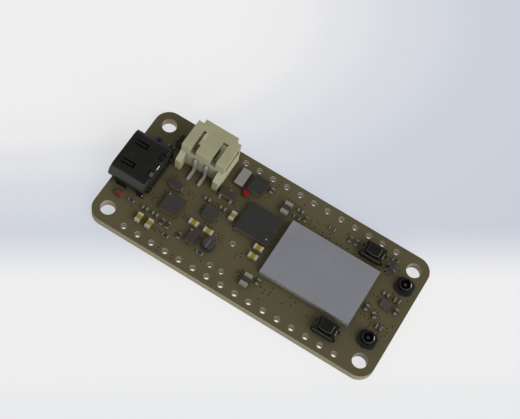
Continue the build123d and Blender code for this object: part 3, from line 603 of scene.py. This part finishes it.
def button_sheet():
    """The buttons' coated covers, with painted highlights along the near side, the end clips, their folds and
    far ends.
    """
    look, base = black_sheet("button_coated_sheet")
    toward = look.direction()
    raised = look.overlap(look.step(toward["Z"], 0.1, 0.1), look.below(toward["Z"], 0.97, 0.02))
    near = look.overlap(raised, look.below(toward["Y"], -0.2, 0.1))
    base = look.mix(near, base, (58, 57, 56))
    x, y = look.beside(*BUTTONS)
    clip = look.strip(y, 0.0, BUTTON_CLIP, 0.04)
    side = look.step(toward["X"], 0.5, 0.2)
    base = look.mix(look.overlap(clip, side), base, (58, 58, 54))
    upward = look.step(toward["Z"], 0.5, 0.2)
    lip = look.overlap(look.strip(x, BUTTON_EDGE - BUTTON_LIP, 0.05, 0.03), upward)
    fold = look.maths("MAXIMUM", look.overlap(side, look.step(look.measure()["Z"], BUTTON_FOLD, 0.1)), lip)
    base = look.mix(look.overlap(clip, fold), base, (124, 124, 117))
    far_end = look.overlap(clip, look.strip(x, -BUTTON_EDGE, 0.1, 0.04), upward)
    base = look.mix(far_end, base, (70, 70, 66))
    look.colour(base, 0.5, 0.6)
    return look.material


def button_legs():
    """The buttons' terminals: coated like the covers and blacker, with painted shade on their upright faces.
    """
    look, _ = black_sheet("button_terminal_sheet")
    look.colour(look.mix(look.flat(), (14, 13, 9), (22, 20, 14)), 0.8, 0.3)
    return look.material


def socket_sheet():
    """The sockets' round shells: painted light on the near rim, one painted highlight, and painted black
    shade in the bore.
    """
    look, base = black_sheet("socket_coated_sheet")
    upward = look.step(look.direction()["Z"], 0.2, 0.1)
    rim = look.overlap(look.step(look.measure()["Z"], SOCKET_RIM, 0.06), upward)
    x, y = look.beside(*SOCKETS)
    base = look.mix(look.overlap(rim, look.below(y, 0.1, 0.3)), base, (42, 43, 41))
    away = look.nearest(SOCKETS)
    along = look.maths("MULTIPLY_ADD", y, SOCKET_GLEAM[1], look.maths("MULTIPLY", x, SOCKET_GLEAM[0]))
    gleam = look.overlap(rim, look.step(look.maths("DIVIDE", along, away), 0.945, 0.02))
    base = look.mix(gleam, base, (146, 147, 141))
    base = look.mix(look.below(away, SOCKET_BORE - SOCKET_LINING, 0.02), base, (8, 8, 9))
    look.colour(base, 0.8, 0.3)
    return look.material


def socket_base():
    """The sockets' moulded bases, black with painted shade where they floor the bore."""
    look = Look("socket_moulded_plastic", rough=0.6, level=0.12)
    grain = look.cells(0.05)
    broad = look.noise(0.8, detail=2.0)
    base = look.mottled(broad, (29, 29, 28), (33, 33, 32))
    look.colour(look.mix(look.below(look.nearest(SOCKETS), SOCKET_BORE, 0.02), base, (8, 8, 9)))
    look.bump(grain, 0.003, 0.5)
    return look.material


def black_moulding():
    """The buttons' black moulded bases, browner towards the board, a brown band that holds painted shadow."""
    look = Look("black_moulded_plastic", rough=0.55, level=0.15)
    grain = look.cells(0.05)
    broad = look.noise(0.8, detail=2.0)
    base = look.mottled(broad, (28, 27, 26), (34, 33, 31))
    foot = look.below(look.measure()["Z"], BUTTON_FOOT, 0.2)
    look.colour(look.mix(foot, base, (62, 46, 40)), 0.6, 0.5)
    look.rough(broad, 0.48, 0.62)
    look.bump(grain, 0.003, 0.5)
    return look.material


def button_moulding():
    """The buttons' plungers: black with a painted highlight along each upper edge."""
    look = Look("button_moulded_plastic", rough=0.6, level=0.06)
    grain = look.cells(0.05)
    broad = look.noise(0.8, detail=2.0)
    base = look.mottled(broad, (21, 21, 20), (26, 26, 25))
    toward = look.direction()
    edge = look.overlap(look.step(toward["Z"], 0.3, 0.1), look.below(toward["Z"], 0.95, 0.05))
    base = look.mix(look.overlap(edge, look.step(toward["X"], 0.3, 0.2)), base, (84, 84, 80))
    base = look.mix(look.overlap(edge, look.below(toward["X"], -0.3, 0.2)), base, (78, 78, 77))
    base = look.mix(look.overlap(edge, look.below(toward["Y"], -0.3, 0.2)), base, (58, 58, 57))
    look.colour(base, 0.5, 0.3)
    look.rough(broad, 0.55, 0.68)
    look.bump(grain, 0.002, 0.4)
    return look.material


def cream_moulding():
    """Cream nylon: fine mould texture, painted light inside and on several faces, and painted highlights on
    its edges.
    """
    look = Look("cream_moulded_plastic", rough=0.55, level=0.15)
    flow = look.noise(2.4, detail=2.0, warp=0.6)
    fine = look.noise(0.08)
    base = look.mottled(flow, (138, 137, 109), (144, 143, 115))
    base = look.mix(look.span(fine, 0.4, 0.8, 0.0, 0.2), base, (132, 130, 102))
    x, y, z = look.measure()
    toward = look.direction()
    back = BATTERY[1]
    # Painted light inside the cavity, on one ledge's top, on the outer sides that face +X, on the back fillet
    # and on the back wall
    inner = look.overlap(look.strip(x, BATTERY[0], BATTERY_INSIDE, 0.02),
                         look.step(y, back + BATTERY_FRONT, 0.02), look.below(z, BATTERY_ROOF, 0.02))
    sliver = look.overlap(look.block((x, y), LEDGE, LEDGE_HALF, (0.04, 0.5)), look.facing())
    base = look.mix(sliver, base, (162, 159, 128))
    outer = look.overlap(look.step(toward["X"], 0.5, 0.2), look.step(x, BATTERY[0] + BATTERY_SIDE, 0.1))
    base = look.mix(outer, base, (149, 146, 117))
    slope = look.overlap(look.strip(toward["Y"], -0.6, 0.2, 0.1), look.step(toward["Z"], 0.3, 0.1),
                         look.below(y, back - BATTERY_FACE, 0.02))
    base = look.mix(slope, base, (152, 151, 129))
    rear = look.overlap(look.strip(y, back, BATTERY_FACE, 0.02), look.maths("SUBTRACT", 1.0, look.facing()))
    base = look.mix(rear, base, (151, 149, 124))
    base = look.mix(look.painted_edge_highlight(0.2, 0.08), base, (176, 173, 144))
    shaded = look.paint_corner_shade(base, 1.4, 0.55)
    look.plain(look.mix(inner, shaded, (192, 189, 156)))
    look.rough(flow, 0.5, 0.62)
    look.bump(fine, 0.004, 0.5)
    return look.material


def tinned(name, dark, light, rough=0.36):
    """Dull tin plating with fine crystalline mottling."""
    look = Look(name, rough=rough, metallic=0.3, level=0.3)
    crystals = look.cells(0.09)
    fine = look.noise(0.05)
    look.colour(look.mottled(crystals, dark, light, CRYSTAL_MIDDLE), 0.6, 0.5)
    look.rough(fine, rough - 0.08, rough + 0.1)
    look.bump(fine, 0.002, 0.6)
    return look.material


def formed_leads():
    """The transistors' tinned leads: dull, with painted light on one transistor's and on those far along the
    board.
    """
    look = Look("formed_lead_tin", rough=0.4, metallic=0.3, level=0.3)
    crystals = look.cells(0.09)
    fine = look.noise(0.05)
    base = look.mottled(crystals, (84, 81, 70), (98, 95, 84), CRYSTAL_MIDDLE)
    pale = look.mottled(crystals, (116, 113, 102), (130, 127, 116), CRYSTAL_MIDDLE)
    base = look.mix(look.step(look.measure()["X"], PALE_LEADS, 0.1), base, pale)
    bright = look.mottled(crystals, (140, 136, 124), (158, 154, 146), CRYSTAL_MIDDLE)
    others = look.step(look.nearest(BRIGHT_LEADS), BRIGHT_LEAD_REACH, 0.02)
    look.colour(look.mix(others, bright, base), 0.6, 0.3)
    look.rough(fine, 0.32, 0.5)
    look.bump(fine, 0.002, 0.6)
    return look.material


def drawn_pin():
    """Tinned square wire with fine lines along its draw, and painted shade on its ends inside the connector.
    """
    look = Look("drawn_pin_metal", rough=0.4, metallic=0.3, level=0.3)
    lines = look.noise(0.05, along=(1.0, 0.12, 0.12))
    broad = look.noise(0.7, detail=2.0)
    base = look.mottled(broad, (140, 137, 130), (155, 152, 145))
    inner = look.step(look.measure()["Y"], BATTERY[1] + PIN_SHADE, 0.1)
    look.colour(look.mix(inner, base, (60, 59, 52)), 0.5, 0.6)
    look.rough(lines, 0.34, 0.5)
    look.bump(lines, 0.002, 0.5)
    return look.material


def module_coat():
    """Metallised coating over a moulded lid: pale blue-grey with very fine grain, and painted shade on two
    sides.
    """
    look = Look("module_metallised_coating", rough=0.6, level=0.15)
    broad = look.noise(6.0, detail=2.0)
    grain = look.noise(0.06, detail=4.0)
    base = look.mottled(broad, (115, 116, 121), (121, 122, 127))
    base = look.mix(look.span(grain, 0.35, 0.75, 0.0, 0.3), base, (105, 106, 111))
    # Painted shade on the side that faces +X and, more lightly, on the near side
    toward = look.direction()
    base = look.mix(look.step(toward["X"], 0.5, 0.2), base, (66, 66, 65))
    base = look.mix(look.below(toward["Y"], -0.5, 0.2), base, (114, 113, 111))
    look.colour(base, 0.6, 0.85)
    look.rough(grain, 0.44, 0.58)
    look.bump(grain, 0.003, 0.5)
    return look.material


def fibre_edge():
    """The module's own laminate, matt and slightly green-grey."""
    look = Look("module_laminate", rough=0.6)
    plies = look.noise(0.25, along=(1.0, 1.0, 8.0))
    look.colour(look.mottled(plies, (100, 99, 90), (122, 121, 112)), 0.6, 0.85)
    look.bump(plies, 0.003, 0.5)
    return look.material


def chip_moulding(name, dark, light):
    """Grey-black moulding compound: filler grains, painted edge highlights, and painted light and shade on
    its sides.
    """
    look = Look(name, rough=0.6, level=0.12)
    broad = look.noise(1.8, detail=2.0)
    grain = look.cells(0.04)
    fleck = look.noise(0.05)
    base = look.mottled(broad, dark, light)
    base = look.mix(look.span(fleck, 0.55, 0.8, 0.0, 0.35), base, (84, 84, 80))
    base = look.mix(look.painted_edge_highlight(0.1, 0.05), base, (80, 80, 77))
    # Painted light in a browner tone on the near sides, and one painted colour of light and shade on the
    # sides that face +X
    toward = look.direction()
    near = look.below(toward["Y"], -0.5, 0.2)
    base = look.mix(near, base, (84, 79, 61))
    look.colour(look.mix(look.step(toward["X"], 0.5, 0.2), base, (58, 55, 43)), 0.6, 0.7)
    look.rough(broad, 0.48, 0.62)
    look.bump(grain, 0.003, 0.6)
    return look.material


def ceramic(name, dark, light):
    """Fired ceramic with soft mottling and tiny pits."""
    look = Look(name, rough=0.45, level=0.2)
    mottle = look.noise(0.3)
    pits = look.cells(0.05)
    look.colour(look.mottled(mottle, dark, light), 0.6, 0.5)
    look.rough(mottle, 0.39, 0.55)
    look.bump(pits, 0.003, 0.5)
    return look.material


def resistor_film():
    """A dark film over a white ceramic bar, which shows on the bar's sides."""
    look = Look("film_on_ceramic", rough=0.5, level=0.2)
    mottle = look.noise(0.3)
    film = look.mottled(mottle, (38, 36, 31), (48, 45, 38))
    side = look.mottled(mottle, (108, 106, 99), (122, 120, 113))
    x, y, _ = look.measure()
    olive_area = look.overlap(look.strip(x, OLIVE_FILM[0], OLIVE_FILM_HALF, 0.1), look.step(y, OLIVE_FILM[1], 0.1))
    film = look.mix(olive_area, film, (66, 62, 45))
    look.colour(look.mix(look.flat(), side, film), 0.4, 0.8)
    look.bump(mottle, 0.003, 0.5)
    return look.material


def lamp_ends():
    """The oblong lamps' ends, with a painted reflection of each lamp's colour."""
    look = Look("lamp_terminal_metal", rough=0.4, metallic=0.3, level=0.3)
    fine = look.noise(0.05)
    far = look.step(look.across(*LINK_LAMP), LINK_LAMP_REACH, 0.1)
    blue = look.mottled(fine, (76, 72, 96), (96, 92, 112))
    red = look.mottled(fine, (98, 78, 70), (112, 94, 86))
    look.colour(look.mix(far, blue, red), 0.5, 0.5)
    look.bump(fine, 0.002, 0.5)
    return look.material


def ferrite():
    """Dark ferrite with a painted highlight along a groove across the top flange."""
    look = Look("inductor_ferrite", rough=0.5, level=0.2)
    mottle = look.noise(0.3)
    x, y, _ = look.measure()
    base = look.mottled(mottle, (50, 50, 48), (56, 56, 53))
    line = look.overlap(look.block((x, y), INDUCTOR_LINE, INDUCTOR_LINE_HALF, (0.04, 0.2)), look.facing())
    look.colour(look.mix(line, base, (90, 90, 87)))
    look.bump(mottle, 0.003, 0.5)
    return look.material


def round_lens():
    """The user lamp's red lens, with painted light brightest over its middle."""
    look = Look("red_lamp_lens", rough=0.6, level=0.05)
    cloud = look.noise(0.35, detail=2.0)
    away = look.across(*USER_LAMP)
    inner, middle, outer = USER_LAMP_RINGS
    shade = look.mix(look.span(away, inner, middle), (122, 21, 23), (98, 21, 21))
    shade = look.mix(look.span(away, middle, outer), shade, (84, 38, 32))
    look.colour(look.mix(look.span(cloud, 0.4, 0.7, 0.0, 0.2), shade, (108, 25, 25)))
    look.bump(cloud, 0.004, 0.3)
    return look.material


def lens(name, colour, deep):
    """A tinted lens: glossy, and clouded within."""
    look = Look(name, rough=0.3, level=0.25)
    cloud = look.noise(0.35, detail=2.0)
    look.colour(look.mottled(cloud, deep, colour))
    look.bump(cloud, 0.004, 0.3)
    return look.material


def copper_wire():
    """Enamelled wire wound in fine turns."""
    look = Look("enamelled_winding", rough=0.35, metallic=0.6)
    turns = look.waves(0.12, "Z")
    look.colour(look.mix(turns, (40, 27, 19), (84, 56, 38)), 0.5, 0.4)
    look.bump(turns, 0.03, 0.8)
    return look.material


def dark_hole():
    """The dark inside of a small drilled hole."""
    look = Look("drilled_hole_shade", rough=0.8, level=0.1)
    fine = look.noise(0.1, detail=2.0)
    look.colour(look.mix(fine, (30, 26, 16), (44, 39, 27)))
    return look.material


def circle(centre, radius, sides):
    """The points of a level circle, in metres."""
    x, y, z = centre
    turns = [2 * pi * step / sides for step in range(sides)]
    return [(x + radius * cos(turn), y + radius * sin(turn), z) for turn in turns]


def band(first, second, sides):
    """The faces between two circles, from the number of each circle's first point."""
    steps = [(step, (step + 1) % sides) for step in range(sides)]
    return [(first + step, first + after, second + after, second + step) for step, after in steps]


def new_piece(name, points, faces, material, smooth=False):
    """A piece with one material. Where it is smooth, only its caps stay flat."""
    mesh = bpy.data.meshes.new(name)
    mesh.from_pydata(points, [], faces)
    mesh.polygons.foreach_set("use_smooth", [smooth and len(face) == 4 for face in faces])
    mesh.update()
    mesh.materials.append(material)
    piece = bpy.data.objects.new(name, mesh)
    bpy.context.collection.objects.link(piece)
    return piece


def new_spots(name, spots, material):
    """Round flat spots, each a centre and a diameter in millimetres, as one piece."""
    points = []
    for centre, diameter in spots:
        points += circle(centre, diameter / 2 * MM, SPOT_SIDES)
    faces = [tuple(range(start, start + SPOT_SIDES)) for start in range(0, len(points), SPOT_SIDES)]
    return new_piece(name, points, faces, material)


def make_vias(shade):
    """The small drilled holes, each a dark spot."""
    piece = new_spots("drilled_vias", [(at(x, y, SPOT_RISE), VIA_DRILL) for x, y in VIAS], shade)
    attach(piece, BODY)


def make_barrels(plating):
    """A thin plated tube down each header hole and test hole."""
    rows = [(NEAR_ROW, HEADER_INSET), (FAR_ROW, 2 * BOARD_MIDDLE[1] - HEADER_INSET)]
    places = [(NEAR_START + HEADER_PITCH * step, y, HEADER_HOLE) for row, y in rows for step in row]
    places += [(x, y, TEST_HOLE) for x, y in TEST_HOLES]
    points, faces = [], []
    for x, y, diameter in places:
        inner = (diameter / 2 - BARREL_LINING) * MM
        outer = (diameter / 2 + BARREL_SEAT) * MM
        across, along, _ = at(x, y)
        for radius, height in ((inner, board_low.z), (inner, TOP), (outer, TOP + BARREL_LIP * MM)):
            points += circle((across, along, height), radius, BARREL_SIDES)
        lip = len(points) - BARREL_SIDES
        for high in (lip - BARREL_SIDES, lip):
            faces += band(high, high - BARREL_SIDES, BARREL_SIDES)
    piece = new_piece("plated_barrels", points, faces, plating, smooth=True)
    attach(piece, BODY)


def make_dots(paint):
    """The pale dots that mark the first pads."""
    spots = [(at(x, y, height + SPOT_RISE), diameter) for x, y, diameter, height in DOTS]
    piece = new_spots("first_pad_dots", spots, paint)
    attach(piece, BODY)


def make_domes(metal):
    """The buttons' snap domes: thin shells of spring steel under their plungers."""
    rings = [*DOME_UPPER, *reversed(DOME_LOWER)]
    crown = len(DOME_UPPER) - 1
    for name, (x, y) in zip(("reset", "user"), BUTTONS):
        points, faces = [], []
        for index, (radius, height) in enumerate(rings):
            points += circle(at(x, y, DOME_SEAT + height), radius * MM, DOME_SIDES)
            first, second = index * DOME_SIDES, (index + 1) % len(rings) * DOME_SIDES
            if index == crown:
                faces.append(tuple(range(first, first + DOME_SIDES)))
                faces.append(tuple(reversed(range(second, second + DOME_SIDES))))
            else:
                faces += band(first, second, DOME_SIDES)
        piece = new_piece(f"{name}_snap_dome", points, faces, metal, smooth=True)
        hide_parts(f"{name}_button_dome")
        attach(piece, BODY)
        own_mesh(piece)


def dress(material, *names):
    """Give each of these nodes a material."""
    for name in names:
        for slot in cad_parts[name].material_slots:
            slot.material = material


def pair(stem, *names):
    """The names of both of a pair's nodes."""
    return [f"{name}_{stem}" for name in names]


def dress_nodes(spring_metal):
    """Every solid gets its finish."""
    moulding = black_moulding()
    tin = tinned("dull_tin_plating", (88, 85, 72), (104, 101, 88))
    grey_tin = tinned("grey_tin_plating", (114, 112, 102), (130, 128, 118))
    bright_tin = tinned("bright_tin_plating", (150, 145, 138), (166, 160, 154))
    thin_tin = tinned("thin_tin_plating", (120, 118, 106), (136, 134, 122))
    pale_tin = tinned("pale_tin_plating", (106, 103, 92), (122, 119, 108))
    dark_chip = chip_moulding("dark_chip_moulding", (41, 41, 39), (45, 45, 43))
    grey_chip = chip_moulding("grey_chip_moulding", (49, 48, 46), (55, 53, 52))
    pale_chip = chip_moulding("pale_chip_moulding", (61, 60, 57), (67, 65, 63))
    dress(laminate_board(), "circuit_board")
    dress(port_sheet(), "data_port_shell")
    dress(port_insulator(), "data_port_insulator")
    dress(contact_metal(), "data_port_contacts")
    dress(button_sheet(), *pair("button_cover", "reset", "user"))
    dress(button_legs(), "button_terminals")
    dress(socket_sheet(), *pair("antenna_socket_shell", "main", "second"))
    dress(socket_base(), *pair("antenna_socket_base", "main", "second"))
    dress(tinned("socket_pin_metal", (28, 29, 28), (50, 51, 49)),
          *pair("antenna_socket_pin", "main", "second"))
    dress(moulding, *pair("button_base", "reset", "user"))
    dress(button_moulding(), *pair("button_plunger", "reset", "user"))
    dress(cream_moulding(), "battery_connector_housing")
    dress(drawn_pin(), "battery_connector_pins", "battery_connector_anchors")
    dress(module_coat(), "radio_module_cap")
    dress(fibre_edge(), "radio_module_substrate")
    dress(dark_chip, "memory_chip_body", "motion_sensor_body")
    dress(grey_chip, "bridge_chip_body", "charger_chip", "regulator_chip", "supply_diode_body",
          "supply_transistor", "bias_transistor")
    dress(pale_chip, "antenna_amplifier")
    dress(chip_moulding("black_chip_moulding", (31, 32, 29), (35, 36, 33)), "level_transistor")
    dress(tin, "bridge_chip_pads", "motion_sensor_pads", "small_chip_pads", "inductor_terminals",
          "supply_diode_leads")
    dress(grey_tin, "memory_chip_pads", "grey_capacitor_terminals")
    dress(bright_tin, "yellow_capacitor_terminals")
    dress(thin_tin, "resistor_terminals")
    dress(pale_tin, "small_capacitor_terminals")
    dress(formed_leads(), "transistor_leads")
    dress(lamp_ends(), "lamp_terminals")
    # The crystal's base is coloured dark olive as painted shade
    dress(ceramic("crystal_ceramic", (52, 50, 42), (62, 60, 50)), "crystal_base")
    dress(tinned("crystal_lid_metal", (125, 124, 119), (133, 132, 127), rough=0.5), "crystal_lid")
    dress(ferrite(), "inductor_core")
    dress(copper_wire(), "inductor_winding")
    dress(resistor_film(), "resistor_bodies")
    dress(ceramic("brown_capacitor_ceramic", (48, 45, 34), (58, 54, 42)), "small_capacitor_bodies")
    dress(ceramic("yellow_capacitor_ceramic", (122, 105, 19), (131, 113, 23)), "yellow_capacitor_bodies")
    dress(ceramic("grey_capacitor_ceramic", (46, 44, 40), (54, 52, 47)), "grey_capacitor_bodies")
    dress(ceramic("lamp_base_moulding", (94, 56, 46), (104, 66, 54)), "user_lamp_base")
    dress(round_lens(), "user_lamp_lens")
    dress(lens("muted_red_lamp_lens", (98, 37, 31), (82, 37, 29)), "charge_lamp_lens")
    dress(lens("blue_lamp_lens", (30, 28, 70), (22, 21, 52)), "link_lamp_lens")
    dress(spring_metal, *pair("button_dome", "reset", "user"))


def broad_light():
    """A very broad light from beyond the antenna sockets, as from a large window."""
    data = bpy.data.lights.new("broad_light", "SUN")
    data.energy = LIGHT_STRENGTH
    data.angle = radians(LIGHT_SPREAD)
    lamp = bpy.data.objects.new("broad_light", data)
    lamp.rotation_mode = "QUATERNION"
    lamp.rotation_quaternion = Vector(LIGHT_FROM).to_track_quat("Z", "Y")
    bpy.context.collection.objects.link(lamp)


def make_world():
    """Soft even light from all round."""
    world = bpy.data.worlds.new("studio_light")
    world.use_nodes = True
    background = world.node_tree.nodes["Background"]
    background.inputs["Color"].default_value = (1.0, 1.0, 1.0, 1.0)
    background.inputs["Strength"].default_value = WORLD_STRENGTH
    bpy.context.scene.world = world


def in_picture(floor, direction, pixels):
    """How far a place on the floor lies along a direction of the picture, as a share of some pixels."""
    x_share, y_share, start = (value / pixels for value in direction)
    x, y, _ = floor.split(floor.place)
    along = floor.maths("MULTIPLY_ADD", x, x_share / MM, start)
    return floor.maths("MULTIPLY_ADD", y, y_share / MM, along)


def floor_tint(floor):
    """The floor's colour: white beside the data port, cooler and greyer far off, white again in front."""
    joined = floor.tree.nodes.new("ShaderNodeCombineXYZ")
    floor.link(in_picture(floor, PICTURE_RIGHT, FADE_RIGHT), joined.inputs["X"])
    floor.link(in_picture(floor, PICTURE_DOWN, FADE_DOWN), joined.inputs["Y"])
    away = floor.vector("LENGTH", joined.outputs["Vector"]).outputs["Value"]
    far = floor.ramp(floor.maths("MULTIPLY", away, 0.5), FLOOR_FAR)
    down = in_picture(floor, PICTURE_DOWN, PICTURE_HEIGHT)
    tint = floor.mix(floor.ramp(down, FLOOR_TURN), far, floor.ramp(down, FLOOR_FRONT))
    # Painted light beneath the board, where its shadow falls on the floor
    x, y, _ = floor.split(floor.place)
    within = [floor.maths("LESS_THAN", floor.maths("ABSOLUTE", value), limit - margin * MM)
              for value, limit, margin in zip((x, y), board_high, FLOOR_MARGIN)]
    return floor.mix(floor.maths("MULTIPLY", *within), tint, FLOOR_BENEATH)


def floor_material():
    """A matt floor that shows mostly its own brightness to the camera and in reflections."""
    floor = Material("pale_floor", rough=0.9, level=0.1)
    nodes = floor.tree.nodes
    tint = floor_tint(floor)
    floor.link(tint, floor.shader.inputs["Base Color"])
    glow = nodes.new("ShaderNodeEmission")
    floor.link(tint, glow.inputs["Color"])
    path = nodes.new("ShaderNodeLightPath")
    seen = floor.maths("MAXIMUM", path.outputs["Is Camera Ray"], path.outputs["Is Glossy Ray"])
    blend = nodes.new("ShaderNodeMixShader")
    floor.link(floor.maths("MULTIPLY", seen, FLOOR_GLOW), blend.inputs["Fac"])
    floor.link(floor.shader.outputs["BSDF"], blend.inputs[1])
    floor.link(glow.outputs["Emission"], blend.inputs[2])
    floor.link(blend.outputs["Shader"], nodes["Material Output"].inputs["Surface"])
    return floor.material


def make_floor():
    """A pale floor that takes a soft shadow."""
    half = FLOOR_HALF
    corners = [(-half, -half, 0), (half, -half, 0), (half, half, 0), (-half, half, 0)]
    floor = new_piece("studio_floor", corners, [(0, 1, 2, 3)], floor_material())
    floor.location.z = -FLOOR_DROP


def make_camera():
    """The photograph's view: a long lens looking steeply down, rolled a little."""
    data = bpy.data.cameras.new("camera")
    data.lens = CAMERA_LENS
    data.sensor_width = CAMERA_SENSOR
    data.clip_start = CAMERA_NEAREST
    data.clip_end = CAMERA_FARTHEST
    camera = bpy.data.objects.new("camera", data)
    place, aim = Vector(CAMERA_PLACE) * MM, Vector(CAMERA_AIM) * MM
    camera.location = place
    camera.rotation_mode = "QUATERNION"
    roll = Quaternion((0, 0, 1), radians(CAMERA_ROLL))
    camera.rotation_quaternion = (aim - place).to_track_quat("-Z", "Y") @ roll
    bpy.context.collection.objects.link(camera)
    bpy.context.scene.camera = camera


bpy.context.scene.view_settings.view_transform = "Standard"
make_camera()
make_world()
broad_light()
make_floor()
spring_metal = tinned("spring_dome_metal", (130, 130, 128), (160, 160, 158), rough=0.25)
dress_nodes(spring_metal)
make_domes(spring_metal)
make_vias(dark_hole())
make_barrels(barrel_plating())
make_dots(ceramic("pale_dot_paint", (120, 120, 114), (140, 140, 132)))
